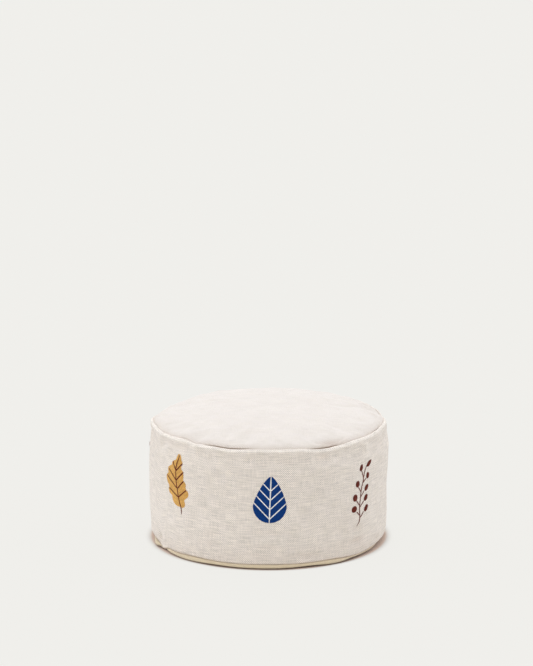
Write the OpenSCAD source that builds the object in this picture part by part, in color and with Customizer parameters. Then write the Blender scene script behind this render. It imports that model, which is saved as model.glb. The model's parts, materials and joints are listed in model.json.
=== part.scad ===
// Round fabric pouf: an embroidered canvas cover with a zip in its base seam,
// over a liner bag of loose bead filling. Millimetres, +Z up.
// The origin is the centre of the flat base. The blue leaf at the front faces -Y.

/* [Overall] */
// Widest diameter of the side band
body_d = 450; // [440:1:470]
// Height of the top seam above the floor
seam_h = 228; // [226:1:236]
// How far the crown stands above the top seam
crown_rise = 25; // [15:1:40]

/* [Cloth] */
// Thickness of the canvas and of the base twill
canvas_t = 1.2; // [1:0.1:1.3]
// Thickness of the liner cloth
liner_t = 0.6; // [0.4:0.1:0.6]
// Thickness of the raised embroidery thread
thread_t = 0.7; // [0.4:0.1:1]
// Depth of the seam allowances that are turned inwards
allowance = 13; // [10:1:16]

/* [Base] */
// Height of the base cloth that shows below the side band
rim_h = 10; // [8:0.5:12]

/* [Zip] */
// Angle that the zip opening takes up at the back
zip_window = 156; // [120:2:160]
// Height of the zip's centre line above the floor
zip_z = 9.25; // [9:0.05:9.5]
// Width of the closed pair of coils
chain_w = 6.4; // [6:0.1:7]
// Slot between the two coils, where the slider's post runs
chain_gap = 0.8; // [0.7:0.05:1]
// Length of the pull tab from its cross bar
pull_l = 26; // [20:1:27]

/* [Embroidery] */
// Angle between one motif and the next
motif_pitch = 49.1; // [46:0.1:51]
// Angle of the front motif from the front
motif_shift = 0.6; // [-1:0.1:1]
// Width of the stitched veins
vein_w = 2.2; // [1.6:0.1:3]

/* [Hidden] */
$fn = 96;

CANVAS = [0.84, 0.80, 0.75];
TOP_CANVAS = [0.90, 0.87, 0.83];
KHAKI = [0.72, 0.64, 0.49];
BINDING = [0.86, 0.83, 0.76];
LINER = [0.93, 0.93, 0.92];
BEADS = [0.97, 0.97, 0.96];
LABEL = [0.96, 0.96, 0.95];
NICKEL = [0.72, 0.71, 0.68];
BLUE_THREAD = [0.05, 0.17, 0.42];
WHITE_THREAD = [0.90, 0.91, 0.92];
MUSTARD_THREAD = [0.80, 0.60, 0.30];
BROWN_THREAD = [0.42, 0.20, 0.12];
BERRY_THREAD = [0.36, 0.15, 0.12];

body_r = body_d / 2;
gap = 0.1;                              // between cloths that lie on each other

// Radii at the top seam, from the inside out: panel flange, then band flange.
panel_flange_r = body_r - 5.7;          // outer face of the top panel's flange
band_flange_r = panel_flange_r + gap;   // inner face of the band's flange
flange_end_z = seam_h - allowance - 1;

// Radii at the base seam, from the inside out: base flange, then band flange.
base_flange_r = body_r - 8.1;           // outer face of the base panel's flange
hem_flange_r = base_flange_r + gap;     // inner face of the band's lower flange
hem_end_z = rim_h + allowance - 1;

// Height of the crown's outer face at a radius
crown_r = panel_flange_r;
function crown_z(r) = seam_h - 1 + (crown_rise + 1) * (1 - pow(r / crown_r, 2.6));
CROWN_STEPS = 14;
function crown_radii(r_max) = [for (i = [0:CROWN_STEPS]) r_max * sqrt(i / CROWN_STEPS)];
function crown_line(r_max, drop) = [for (r = crown_radii(r_max)) [r, crown_z(r) - drop]];
function reversed(list) = [for (i = [len(list) - 1:-1:0]) list[i]];

// A ring, or a part of one, between two radii and two heights
module ring(r0, r1, z0, z1, from = 0, sweep = 360)
    rotate([0, 0, from])
        rotate_extrude(angle = sweep)
            polygon([[r0, z0], [r1, z0], [r1, z1], [r0, z1]]);

// ---- Cover ----

module top_panel() color(TOP_CANVAS) {
    inner_r = panel_flange_r - canvas_t;
    rotate_extrude()
        polygon(concat(
            crown_line(inner_r, canvas_t),
            [[inner_r, flange_end_z], [panel_flange_r, flange_end_z]],
            reversed(crown_line(panel_flange_r, 0))
        ));
}

// Outer face of the side band, from its hem to its top fold
band_line = [
    [body_r - 5.5, rim_h], [body_r - 1.5, 30], [body_r, 58], [body_r, seam_h - 24],
    [body_r - 1.2, seam_h - 10], [body_r - 3, seam_h - 2], [band_flange_r + canvas_t, seam_h]
];

// The opening for the zip: everything at the base seam that the zip replaces
zip_from = 90 - zip_window / 2;
hem_over_zip = zip_z + 5.75;            // hem of the band above the zip
rim_under_zip = 3.2;                    // rim of the base below the zip

module zip_window(z0, z1) ring(body_r - 25, body_r + 5, z0, z1, zip_from, zip_window);

module side_band() color(CANVAS)
    difference() {
        rotate_extrude()
            polygon(concat(
                band_line,
                [[band_flange_r, seam_h - 0.4], [band_flange_r, flange_end_z],
                 [band_flange_r + canvas_t, flange_end_z], [band_flange_r + canvas_t, seam_h - 2.4]],
                [for (i = [4:-1:1]) band_line[i] - [canvas_t, 0]],
                [[hem_flange_r + canvas_t, rim_h + 1], [hem_flange_r + canvas_t, hem_end_z],
                 [hem_flange_r, hem_end_z], [hem_flange_r, rim_h]]
            ));
        zip_window(-1, hem_over_zip);
    }

module base_panel() color(KHAKI)
    difference() {
        rotate_extrude()
            polygon([
                [0, 0], [body_r - 18, 0], [body_r - 11, 1], [body_r - 7, 3.6],
                [body_r - 6, rim_h - 0.2], [base_flange_r, rim_h - 0.2],
                [base_flange_r, hem_end_z], [base_flange_r - canvas_t, hem_end_z],
                [base_flange_r - canvas_t, 4.6], [body_r - 12, 2.2],
                [body_r - 18.5, canvas_t], [0, canvas_t]
            ]);
        zip_window(rim_under_zip, hem_end_z + 1);
    }

// Folded tape over the raw edges of a seam, open towards the flange
module binding_ring(r_in, r_out, z_edge, reach, from = 0, sweep = 360) {
    t = 0.5;
    up = reach > 0;
    z_cap = z_edge + (up ? -gap - t : gap);
    rotate([0, 0, from]) rotate_extrude(angle = sweep)
        polygon([
            [r_in - gap - t, z_cap + (up ? 0 : t)], [r_out + gap + t, z_cap + (up ? 0 : t)],
            [r_out + gap + t, z_edge + reach], [r_out + gap, z_edge + reach],
            [r_out + gap, z_cap + (up ? t : 0)], [r_in - gap, z_cap + (up ? t : 0)],
            [r_in - gap, z_edge + reach], [r_in - gap - t, z_edge + reach]
        ]);
}

module top_seam_binding() color(BINDING)
    binding_ring(panel_flange_r - canvas_t, band_flange_r + canvas_t, flange_end_z, 7);

module base_seam_binding() color(BINDING)
    binding_ring(base_flange_r - canvas_t, hem_flange_r + canvas_t, hem_end_z, -7,
                 zip_from + zip_window + 0.5, 359 - zip_window);

// Heights between which the band's wall is upright
band_low = 60;
band_high = seam_h - 26;
lining_r = body_r - canvas_t - gap;     // things that lie on the band's inner face

module back_seam_binding() color(BINDING)
    ring(lining_r - 0.5, lining_r, band_low, band_high, 87.5, 5);

module care_label() color(LABEL)
    ring(body_r + 0.15, body_r + 0.75, 26, 58, 90.2, 5.2);

// ---- Zip in the base seam, along an arc round the Z axis ----

tape_r = body_r - 8.7;                  // inner face of the tapes
tape_t = 0.6;
chain_r = tape_r + tape_t / 2;          // middle of tapes and coils
coil_t = 2.2;
coil_h = (chain_w - chain_gap) / 2;
chain_from = 21;
chain_to = 162.4;
tape_from = zip_from + 0.3;
tape_sweep = zip_window - 0.6;
slider_at = 160;

module zip_tape_upper() color(KHAKI)
    ring(tape_r, tape_r + tape_t, zip_z + chain_w / 2, zip_z + 15, tape_from, tape_sweep);

module zip_tape_lower() color(KHAKI)
    rotate([0, 0, tape_from]) rotate_extrude(angle = tape_sweep)
        polygon([
            [tape_r + tape_t, zip_z - chain_w / 2], [tape_r, zip_z - chain_w / 2],
            [tape_r, rim_under_zip + tape_t], [tape_r - 12, rim_under_zip + tape_t],
            [tape_r - 12, rim_under_zip], [tape_r + tape_t, rim_under_zip]
        ]);

// Half of the chain: side is 1 above the centre line and -1 below it
module zip_coil(side) color(KHAKI)
    rotate([0, 0, chain_from]) rotate_extrude(angle = chain_to - chain_from)
        translate([chain_r, zip_z + side * (chain_gap + coil_h) / 2])
            polygon([for (c = [[-1, -0.5], [-0.5, -1], [0.5, -1], [1, -0.5],
                               [1, 0.5], [0.5, 1], [-0.5, 1], [-1, 0.5]])
                     [c[0] * coil_t / 2, c[1] * coil_h / 2]]);

module zip_top_stops() color(NICKEL)
    for (z = [zip_z + chain_gap / 2, zip_z - chain_w / 2])
        ring(chain_r - 1.3, chain_r + 1.3, z, z + coil_h, chain_to + 0.1, 0.9);

module zip_bottom_stop() color(NICKEL)
    ring(chain_r - 1.4, chain_r + 1.4, zip_z - chain_w / 2, zip_z + chain_w / 2, chain_from - 1.2, 1.1);

// The slider and pull are drawn at the +X axis: x is outwards and y runs along the zip.
slider_l = 13;
slider_w = 9.8;
plate_t = 1.2;
plate_clear = 0.35;
outer_plate_x = chain_r + coil_t / 2 + plate_clear;
inner_plate_x = chain_r - coil_t / 2 - plate_clear - plate_t;
bail_w = 1.8;
bail_l = 9.2;
bail_hole_h = 2;
bar_r = 0.75;
pivot_x = outer_plate_x + plate_t + bail_hole_h / 2;

// Seen from outside: a plate with its two corners cut where the coils part
module slider_plate(x)
    translate([x, 0, zip_z]) rotate([90, 0, 90]) linear_extrude(plate_t)
        polygon([
            [-slider_l / 2, -slider_w / 2 + 1.2], [-slider_l / 2 + 2, -slider_w / 2],
            [slider_l / 2 - 1, -slider_w / 2], [slider_l / 2, -slider_w / 2 + 1],
            [slider_l / 2, slider_w / 2 - 1], [slider_l / 2 - 1, slider_w / 2],
            [-slider_l / 2 + 2, slider_w / 2], [-slider_l / 2, slider_w / 2 - 1.2]
        ]);

module slider_rail(x, side)
    translate([x, -slider_l / 2 + 2, zip_z + side * (slider_w / 2 - 0.45) - 0.45])
        cube([0.65, slider_l - 3, 0.9]);

module zip_slider() color(NICKEL) rotate([0, 0, slider_at]) union() {
    slider_plate(outer_plate_x);
    slider_plate(inner_plate_x);
    translate([inner_plate_x + 0.6, 2.5, zip_z - 0.25])
        cube([outer_plate_x - inner_plate_x, 3, 0.5]);
    for (side = [-1, 1]) {
        slider_rail(outer_plate_x - 0.6, side);
        slider_rail(inner_plate_x + plate_t - 0.05, side);
    }
    translate([outer_plate_x + plate_t - 0.2, 0, zip_z - bail_w / 2])
        difference() {
            translate([0, -bail_l / 2, 0]) cube([bail_hole_h + 1.4, bail_l, bail_w]);
            translate([-1, -bail_l / 2 + 1.2, -1]) cube([bail_hole_h + 1.2, bail_l - 2.4, bail_w + 2]);
        }
}

window_l = 6.4;                         // from the cross bar's axis to the end of the tab's window
tab_t = 1.4;

module zip_pull() color(NICKEL)
    rotate([0, 0, slider_at]) translate([pivot_x, 0, zip_z]) union() {
        cylinder(r = bar_r, h = 6.4, center = true);
        translate([tab_t / 2, 0, 0]) rotate([90, 0, -90]) linear_extrude(tab_t)
            difference() {
                union() {
                    translate([0, -3.2]) square([pull_l - 3.5, 6.4]);
                    translate([pull_l - 3.5, 0]) circle(r = 3.5);
                }
                translate([-1, -1.4]) square([window_l + 1, 2.8]);
            }
    }

// ---- Embroidery: flat outlines in (along the band, height), wrapped on the band ----

// Puts a flat outline on the band's face. The place counts motifs round from the front.
module on_band(place)
    rotate([0, 0, motif_shift + place * motif_pitch])
        intersection() {
            translate([0, -body_r + 12, 0]) rotate([90, 0, 0]) linear_extrude(20) children();
            ring(body_r + 0.05, body_r + 0.05 + thread_t, band_low, seam_h);
        }

// A stitched line between two points, w wide
module stitch_line(a, b, w)
    translate(a) rotate([0, 0, atan2(b[1] - a[1], b[0] - a[0])])
        translate([-w / 4, -w / 2]) square([norm(b - a) + w / 2, w]);

module stitch_path(points, w)
    for (i = [0:len(points) - 2]) stitch_line(points[i], points[i + 1], w);

// Blue leaf: a circle at the bottom that tapers to the tip
leaf_foot = 91;
leaf_l = 88.5;
leaf_r = 31;
leaf_lean = -2.3;
leaf_upper = leaf_l - leaf_r;
function leaf_half(s) = leaf_r * pow(1 - pow(s, 1.3), 0.73);
module leaf_outline()
    polygon(concat(
        [for (a = [180:12:360]) [leaf_r * cos(a), leaf_r + leaf_r * sin(a)]],
        [for (s = [0.1:0.1:0.9]) [leaf_half(s), leaf_r + s * leaf_upper]],
        [[0, leaf_l]],
        [for (s = [0.9:-0.1:0.1]) [-leaf_half(s), leaf_r + s * leaf_upper]]
    ));
LEAF_JOINTS = [7, 25, 42.5, 60];        // heights where the side veins leave the midrib

module leaf_veins(w, ends) {
    translate([-w / 2, -ends]) square([w, leaf_l - 3 + 2 * ends]);
    for (v = LEAF_JOINTS, side = [-1, 1])
        stitch_line([0, v], [side * 36, v + 36], w);
}

module place_leaf() translate([-1.6, leaf_foot]) rotate([0, 0, leaf_lean]) children();

module blue_leaf_fill(place) color(BLUE_THREAD)
    on_band(place) place_leaf()
        difference() {
            leaf_outline();
            leaf_veins(vein_w + 0.2, 1);
        }

module blue_leaf_veins(place) color(WHITE_THREAD)
    on_band(place) place_leaf()
        intersection() {
            leaf_outline();
            leaf_veins(vein_w, 0);
        }

// Oak leaf: round lobes, each with a vein that ends near its tip
OAK_OUTLINE = [
    [12, 100.5], [22, 103.5], [24.5, 109], [21.5, 116], [31, 123], [33, 130], [25, 139.5],
    [27, 146], [19.5, 153.5], [20.5, 163], [18.5, 171], [14, 174], [17.5, 185], [12, 189],
    [12.5, 197], [8, 201], [2, 198], [-1, 191], [-9, 186], [-12, 182], [-15, 176], [-24, 171],
    [-27, 165], [-27.5, 157], [-34, 153.5], [-34, 146], [-28, 137], [-25.5, 134], [-28, 129],
    [-24.5, 121], [-16, 117.5], [-14, 110], [-8, 104], [2, 102]
];
OAK_MIDRIB = [[13, 90], [12, 100], [4, 119.5], [0.5, 134.5], [-2, 150.5], [-3, 168], [2, 181], [7.5, 198]];
OAK_VEINS = [
    [[3.5, 120], [-25.5, 131]], [[0.5, 135.5], [-30.5, 153]], [[-2, 151], [-22.5, 169]],
    [[-3, 171], [-9, 184]], [[4.5, 120], [25, 136.5]], [[0.5, 135], [19, 152]],
    [[-2, 151.5], [18.5, 169.5]], [[-3, 167], [16.5, 185]]
];

module oak_veins_flat(w) {
    stitch_path(OAK_MIDRIB, w);
    for (vein = OAK_VEINS) stitch_line(vein[0], vein[1], w);
}

module oak_leaf_fill(place) color(MUSTARD_THREAD)
    on_band(place)
        difference() {
            polygon(OAK_OUTLINE);
            oak_veins_flat(vein_w + 0.2);
        }

module oak_leaf_veins(place) color(BROWN_THREAD)
    on_band(place) oak_veins_flat(vein_w);

// Berry sprig: a thin stem whose branches end in berries
SPRIG_STEM = [
    [-13, 64], [-8, 72], [-7, 80], [-8, 90], [-7.5, 100], [-5, 110], [-4.5, 120], [-3, 130],
    [-1, 138], [3, 147], [3.5, 155], [6, 162], [9, 169], [14, 175]
];
SPRIG_BRANCHES = [
    [[-7, 80], [-11, 87], [-17, 93]], [[-7, 80], [1, 85], [6, 88.5]],
    [[-7.5, 100], [0, 103], [8, 109]], [[-7.5, 104], [-13, 110.5], [-15.5, 114]],
    [[-4.5, 120], [1, 122], [8, 127.5]], [[-3, 130], [-8, 135], [-11, 139.5]],
    [[3, 146], [9, 148.5], [14, 151.5]], [[3.5, 155], [0, 162], [-3, 169]]
];
// Each berry's centre, half-width, half-height and turn
BERRIES = [
    [[23, 177], 7.5, 4.4, 8], [[-4, 174.5], 4.6, 5.6, 0], [[18, 155], 4.8, 6, 25],
    [[-13, 145], 5.2, 5.7, 0], [[14, 132], 6, 5.3, 15], [[12, 113.5], 5.6, 6.2, 0],
    [[-19.5, 119.5], 5.4, 6.4, 30], [[-22, 98], 5.8, 5.8, 0], [[12, 93.5], 6.4, 5, 35]
];
stem_w = 1.7;

module berry(b, extra = 0)
    translate(b[0]) rotate([0, 0, b[3]])
        polygon([for (a = [0:18:342]) [(b[1] + extra) * cos(a), (b[2] + extra) * sin(a)]]);

module sprig_stem(place) color(BERRY_THREAD)
    on_band(place)
        difference() {
            union() {
                stitch_path(SPRIG_STEM, stem_w);
                for (branch = SPRIG_BRANCHES) stitch_path(branch, stem_w);
            }
            for (b = BERRIES) berry(b, 0.1);
        }

module sprig_berries(place) color(BERRY_THREAD)
    on_band(place)
        for (b = BERRIES) berry(b);

// Stabiliser cloth behind each motif, on the band's inner face
module embroidery_backing() color(LINER)
    for (i = [-3:3])
        ring(lining_r - 0.5, lining_r, band_low, band_high, motif_shift + i * motif_pitch - 90 - 10, 20);

// ---- Liner bag and filling ----

liner_r = body_r - 12.4;                // where the liner passes inside the seams
liner_wide_r = lining_r - 0.8;          // where it swells out to the band
liner_swell = [24, 46, seam_h - 42, seam_h - 18];
liner_step_r = liner_r - 10;            // the liner's base steps up over the lower zip tape
liner_step_z = rim_under_zip + tape_t + 0.2;
crown_drop = canvas_t + 0.3;
liner_low = liner_step_z + liner_t + gap;
liner_high = crown_z(liner_r) - crown_drop - liner_t - gap;

// The liner's side, moved inwards
function liner_wall(inset) = [
    [liner_r - inset, liner_low], [liner_r - inset, liner_swell[0]],
    [liner_wide_r - inset, liner_swell[1]], [liner_wide_r - inset, liner_swell[2]],
    [liner_r - inset, liner_swell[3]], [liner_r - inset, liner_high]
];

module liner_top() color(LINER)
    rotate_extrude()
        polygon(concat(
            crown_line(liner_r, crown_drop + liner_t),
            reversed(crown_line(liner_r, crown_drop))
        ));

module liner_side() color(LINER)
    rotate_extrude()
        polygon(concat(liner_wall(0), reversed(liner_wall(liner_t))));

module liner_base() color(LINER)
    rotate_extrude()
        polygon([
            [0, canvas_t + gap], [liner_step_r - 2, canvas_t + gap], [liner_step_r, liner_step_z],
            [liner_r, liner_step_z], [liner_r, liner_step_z + liner_t],
            [liner_step_r - 0.4, liner_step_z + liner_t],
            [liner_step_r - 2.4, canvas_t + gap + liner_t], [0, canvas_t + gap + liner_t]
        ]);

module bead_filling() color(BEADS) {
    inset = liner_t + gap;
    floor_z = canvas_t + liner_t + 2 * gap;
    rotate_extrude()
        polygon(concat(
            [[0, floor_z], [liner_step_r - 2.6, floor_z], [liner_step_r - 0.6, liner_low]],
            [for (i = [0:4]) liner_wall(inset)[i]],
            reversed(crown_line(liner_r - inset, crown_drop + liner_t + gap))
        ));
}

// ---- Nodes ----

top_panel();
side_band();
base_panel();
top_seam_binding();
base_seam_binding();
back_seam_binding();
embroidery_backing();
care_label();
zip_tape_upper();
zip_tape_lower();
zip_coil(1);  // zip_coil_upper
zip_coil(-1);  // zip_coil_lower
zip_top_stops();
zip_bottom_stop();
zip_slider();
zip_pull();
liner_top();
liner_side();
liner_base();
bead_filling();

// The motifs: each one's number and its place round the band
for (m = [[1, 0], [2, 3], [3, -3]]) {
    blue_leaf_fill(m[1]);
    blue_leaf_veins(m[1]);
}
for (m = [[1, -1], [2, 2]]) {
    oak_leaf_fill(m[1]);
    oak_leaf_veins(m[1]);
}
for (m = [[1, 1], [2, -2]]) {
    sprig_stem(m[1]);
    sprig_berries(m[1]);
}
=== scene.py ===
"""The looks of a round canvas pouf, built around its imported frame.

Shapes are worked out in millimetres and azimuths in degrees: 0 is the front (-Y) and 90 the right (+X).
Meshes are stored in metres.
"""

import json
import math

import bpy
import numpy as np
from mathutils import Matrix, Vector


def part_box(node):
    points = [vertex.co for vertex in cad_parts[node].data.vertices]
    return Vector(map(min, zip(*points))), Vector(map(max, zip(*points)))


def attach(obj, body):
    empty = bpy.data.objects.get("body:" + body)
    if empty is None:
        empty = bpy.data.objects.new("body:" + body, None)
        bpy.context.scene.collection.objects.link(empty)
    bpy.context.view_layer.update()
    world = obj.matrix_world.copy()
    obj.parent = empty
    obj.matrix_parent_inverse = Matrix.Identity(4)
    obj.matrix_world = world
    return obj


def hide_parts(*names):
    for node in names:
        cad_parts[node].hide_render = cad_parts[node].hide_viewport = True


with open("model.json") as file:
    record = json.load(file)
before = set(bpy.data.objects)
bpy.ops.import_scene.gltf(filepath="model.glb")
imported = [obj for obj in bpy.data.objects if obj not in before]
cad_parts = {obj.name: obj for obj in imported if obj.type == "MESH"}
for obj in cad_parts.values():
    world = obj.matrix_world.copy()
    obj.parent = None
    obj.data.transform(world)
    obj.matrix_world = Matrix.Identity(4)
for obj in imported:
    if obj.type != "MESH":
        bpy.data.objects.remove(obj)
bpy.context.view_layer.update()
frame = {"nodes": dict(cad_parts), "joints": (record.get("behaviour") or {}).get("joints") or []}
MM = 0.001

# ---- Sizes, from the frame ----

BASE_FLANGE = 11.8          # how far the base panel's flange stands up inside the band
CHAIN_INSIDE = 3.65         # how far the zip's chain lies inside the pull's pivot
BAND_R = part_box("side_band")[1].x / MM
SEAM_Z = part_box("side_band")[1].z / MM
HEM_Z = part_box("base_panel")[1].z / MM - BASE_FLANGE
CROWN_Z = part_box("top_panel")[1].z / MM
ZIP_Z = (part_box("zip_slider")[0].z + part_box("zip_slider")[1].z) / 2 / MM
PIVOT = next(j["pos_m"] for j in frame["joints"] if j["name"] == "pull_swing")
CHAIN_R = math.hypot(*PIVOT[:2]) / MM - CHAIN_INSIDE
CHAIN_W = 6.4
ZIP_HALF = 78               # half of the angle that the zip takes up at the back
HEM_OVER_ZIP = ZIP_Z + 5.75
RIM_UNDER_ZIP = 3.2
COVER, SLIDER, PULL = "cover", "zip_slider", "zip_pull"


# ---- Small maths ----

def smooth(low, high, x):
    """0 below low, 1 above high, with a smooth step between them."""
    t = np.clip((x - low) / (high - low), 0, 1)
    return t * t * (3 - 2 * t)


def hump(x, width):
    return np.exp(-((x / width) ** 2))


def turn(azimuth, centre):
    """Angle from centre to azimuth, from -180 to 180."""
    return (azimuth - centre + 180) % 360 - 180


def humps(azimuth, rows):
    """The sum of humps in rows of azimuth, half-width and height."""
    return sum(h * hump(turn(azimuth, c), w) for c, w, h in rows)


def at(azimuth, radius, z):
    """Points at those cylinder coordinates."""
    a = np.radians(azimuth)
    return np.stack(np.broadcast_arrays(radius * np.sin(a), -radius * np.cos(a), z), -1)


def ripples(seed, turns, length, count=24):
    """Smooth random waves that join up round the pouf, about 1 high. turns is the waves in a full turn."""
    rng = np.random.default_rng(seed)
    around = rng.integers(turns[0], turns[1] + 1, count)
    along = rng.uniform(-1, 1, count) * 2 * math.pi / length
    phase = rng.uniform(0, 2 * math.pi, count)
    size = rng.uniform(0.5, 1.5, count) / math.sqrt(count)

    def wave(azimuth, s):
        a, s = np.broadcast_arrays(np.radians(azimuth), s)
        return sum(h * np.cos(k * a + m * s + p) for k, m, p, h in zip(around, along, phase, size))

    return wave


def puckers(seed, spacing, width):
    """Short gathers at random places round a seam, about 1 high, for a seam of the band's radius."""
    rng = np.random.default_rng(seed)
    count = int(2 * math.pi * BAND_R / spacing)
    places = (np.arange(count) + rng.uniform(-0.4, 0.4, count)) * 360 / count
    heights = rng.uniform(-1, 1, count)
    widths = rng.uniform(0.7, 1.5, count) * math.degrees(width / BAND_R)
    rows = list(zip(places, widths, heights))
    return lambda azimuth: humps(azimuth, rows)


class Field:
    """Values on a grid, rows along v from 0 to 1 and columns round the pouf, read as a smooth surface."""

    def __init__(self, values):
        self.values = values

    @staticmethod
    def weights(t):
        """Of the four grid values round a point that lies t past the second: a cubic B-spline."""
        return [(1 - t) ** 3 / 6, (3 * t**3 - 6 * t**2 + 4) / 6,
                (-3 * t**3 + 3 * t**2 + 3 * t + 1) / 6, t**3 / 6]

    def __call__(self, azimuth, v):
        rows, cols = self.values.shape
        azimuth, v = np.broadcast_arrays(azimuth, v)
        x = (azimuth % 360) / 360 * cols
        y = np.clip(v, 0, 1) * (rows - 1)
        i, j = np.floor(x).astype(int), np.floor(y).astype(int)
        total = 0
        for a, wa in enumerate(self.weights(x - i)):
            for b, wb in enumerate(self.weights(y - j)):
                total = total + wa * wb * self.values[np.clip(j + b - 1, 0, rows - 1), (i + a - 1) % cols]
        return total


# ---- The shape of the cover ----

# Where the top seam stands higher or lower: azimuth, half-width in degrees, height
SEAM_SWAYS = [
    (-76, 8, 2.6), (-46, 6, 2.4), (-38, 4, -1.6), (-19, 7, -2.0), (27, 8, -4.8), (38, 6, -2.2), (75, 9, 2.0),
    (99, 7, -4.4), (118, 9, -2.6), (137, 9, -1.0), (180, 30, -4.0), (-105, 9, -6.5), (-126, 13, -9.5),
    (-143, 8, -2.0),
]
# Where the top panel and the band gape at the seam: azimuth, half-width, how much
SEAM_GAPES = [
    (-20, 12, 0.62), (-50, 14, 0.16), (28, 8, 0.6), (66, 7, 0.2), (112, 12, 0.6), (-128, 9, 0.5),
    (170, 8, 0.5),
]
LIP_W = 7.6                 # the band's fold at the top seam, across and down
LIP_H = 5.5
ROLL_W = 7.0                # the round edge of the top panel, across and up
ROLL_H = 5.4
seam_wander = ripples(11, (2, 9), 100)
seam_wiggle = ripples(12, (18, 60), 100)


def seam_z(azimuth):
    """Height of the band's fold at the top seam."""
    waves = 0.25 * seam_wander(azimuth, 0) + 0.22 * seam_wiggle(azimuth, 0)
    return SEAM_Z - 0.4 + humps(azimuth, SEAM_SWAYS) + waves


def seam_r(azimuth):
    """Radius of the crease between the top panel and the band."""
    return (BAND_R - 11.2 + 0.6 * seam_wander(azimuth, 30) + 0.25 * seam_wiggle(azimuth, 30)
            + humps(azimuth, [(106, 14, -3.0), (-110, 16, -3.0)]))


def gape(azimuth):
    """How far the seam gapes, 0 to about 1."""
    return sum(h * np.exp(-(turn(azimuth, c) / w) ** 4) for c, w, h in SEAM_GAPES)


def edge_z(azimuth):
    """Height at which the top panel's round edge stands furthest out."""
    return seam_z(azimuth) - 0.6 + 2.4 * gape(azimuth)


# Where the painted shade in the crease of the top seam is stronger or weaker: azimuth, half-width, change
CREASE_SHADES = [(-21, 13, 0.8), (29, 11, 0.75), (-48, 12, 0.25), (4, 10, -0.3)]


def crease_shade(azimuth):
    """How strong the painted shade in the crease of the top seam is, 0 to 1."""
    return np.clip(0.12 + humps(azimuth, CREASE_SHADES), 0, 1)


def over_zip(azimuth, blend=5):
    """1 where the zip replaces the base seam, 0 at the front."""
    return smooth(180 - ZIP_HALF - blend, 180 - ZIP_HALF + 1, np.abs(turn(azimuth, 0)))


# Where the band's lower edge is higher or lower: azimuth, half-width, height
HEM_SWAYS = [
    (-78, 9, 3.2), (-63.5, 3.5, -7.0), (-52, 9, -1.6), (-14, 14, -0.8), (14, 12, -0.6), (48, 13, -3.4),
    (76, 10, 3.0),
]
# Where the base is wider or narrower: azimuth, half-width, change of radius
BASE_SWAYS = [
    (-86, 7, -4.0), (-71, 5, 4.0), (-62, 3, -3.0), (-42, 12, 3.6), (-14, 9, 1.4), (38, 9, 4.0),
    (78, 17, -5.0),
    (-110, 14, 2.0), (150, 20, -1.5),
]
# Where the rim stands further off the floor: azimuth, half-width, height
RIM_LIFTS = [(22, 7, 1.2), (45, 8, 2.0), (58, 9, 2.0), (78, 16, 4.0), (-64, 4, 4.0), (150, 20, 1.0)]
hem_wander = ripples(21, (3, 14), 100)


def hem_z(azimuth):
    """Height of the band's lower edge."""
    front = HEM_Z + 0.4 + 0.4 * hem_wander(azimuth, 0) + humps(azimuth, HEM_SWAYS)
    w = over_zip(azimuth)
    return front * (1 - w) + HEM_OVER_ZIP * w


def base_r(azimuth):
    """Radius of the base's rim, where it is widest."""
    w = over_zip(azimuth)
    return BAND_R - 5.4 + 0.5 * hem_wander(azimuth, 40) + humps(azimuth, BASE_SWAYS) * (1 - w) - 3.0 * w


def rim_z(azimuth):
    """Height of the lowest edge of the base's rim: the base bellies down to the floor inside it."""
    lift = 2.6 + 0.3 * hem_wander(azimuth, 80) + humps(azimuth, RIM_LIFTS)
    w = over_zip(azimuth)
    return np.minimum(lift * (1 - w) + 1.2 * w, 0.7 * hem_z(azimuth))


# Soft dents (below 0) and folds (above 0) in the band: azimuth, height, half-width, half-height, tilt, depth
BAND_DENTS = [
    (26, 209, 13, 8, 10, -2.6), (28, 190, 24, 7, 14, 1.5), (8, 203, 30, 6, -4, -0.7),
    (47, 60, 20, 9, 4, -2.2), (44, 44, 26, 8, -6, 0.9), (0, 72, 30, 6, -3, -1.5), (-2, 58, 34, 7, 2, 0.8),
    (-28, 60, 22, 7, 5, -1.5), (18, 24, 22, 8, 0, -1.6), (-52, 214, 22, 6, -8, -1.2),
    (-58, 30, 16, 9, 30, 1.3),
    (-66, 22, 7, 10, -25, -3.0), (64, 24, 14, 9, -18, -1.8), (70, 205, 18, 9, 20, -1.6),
    (-88, 186, 50, 34, 8, -2.6), (-90, 60, 40, 30, 0, -0.8),
    (86, 84, 50, 44, -6, -2.6), (104, 204, 24, 9, -14, -2.0), (120, 188, 20, 12, 18, 1.6),
    (136, 64, 28, 9, 6, -2.0),
    (160, 206, 22, 8, -8, -1.8), (-170, 60, 26, 8, 8, -1.8), (-150, 208, 20, 8, 12, -1.8),
    (-128, 60, 24, 9, -8, -2.0),
    (-104, 207, 20, 8, 6, -1.5), (-96, 44, 22, 9, 4, -1.6), (168, 110, 30, 8, 10, -0.9),
    (-118, 124, 34, 8, -12, -0.9),
]
# Faint darker patches on the band, added to its painted shade: azimuth, height, half-width, half-height,
# strength
DARK_PATCHES = [
    (47, 38, 17, 6, 0.20), (0, 44, 18, 6, 0.07), (-29, 44, 16, 5, 0.07), (40, 70, 40, 40, 0.06),
    (52, 20, 22, 12, 0.08), (150, 40, 20, 7, 0.08), (-120, 36, 18, 6, 0.08), (-160, 150, 26, 10, 0.04),
]
band_sway = ripples(31, (2, 12), 170)
band_flutter = ripples(32, (14, 46), 60)
top_gathers = puckers(33, 17, 4.2)
hem_gathers = puckers(34, 15, 4.0)
band_lift = Field(np.zeros((2, 8)))      # set from the cloth simulation
crown_lift = Field(np.zeros((2, 8)))


def band_profile(z):
    """Radius of the band at a height, before any dent."""
    low = 5.2 * np.clip((80 - z) / 72, 0, None) ** 1.6
    waist = 1.2 * hump(z - 114, 30)
    shoulder = 4.0 * smooth(180, 212, z)
    return BAND_R - 0.4 - low - waist - shoulder


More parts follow.
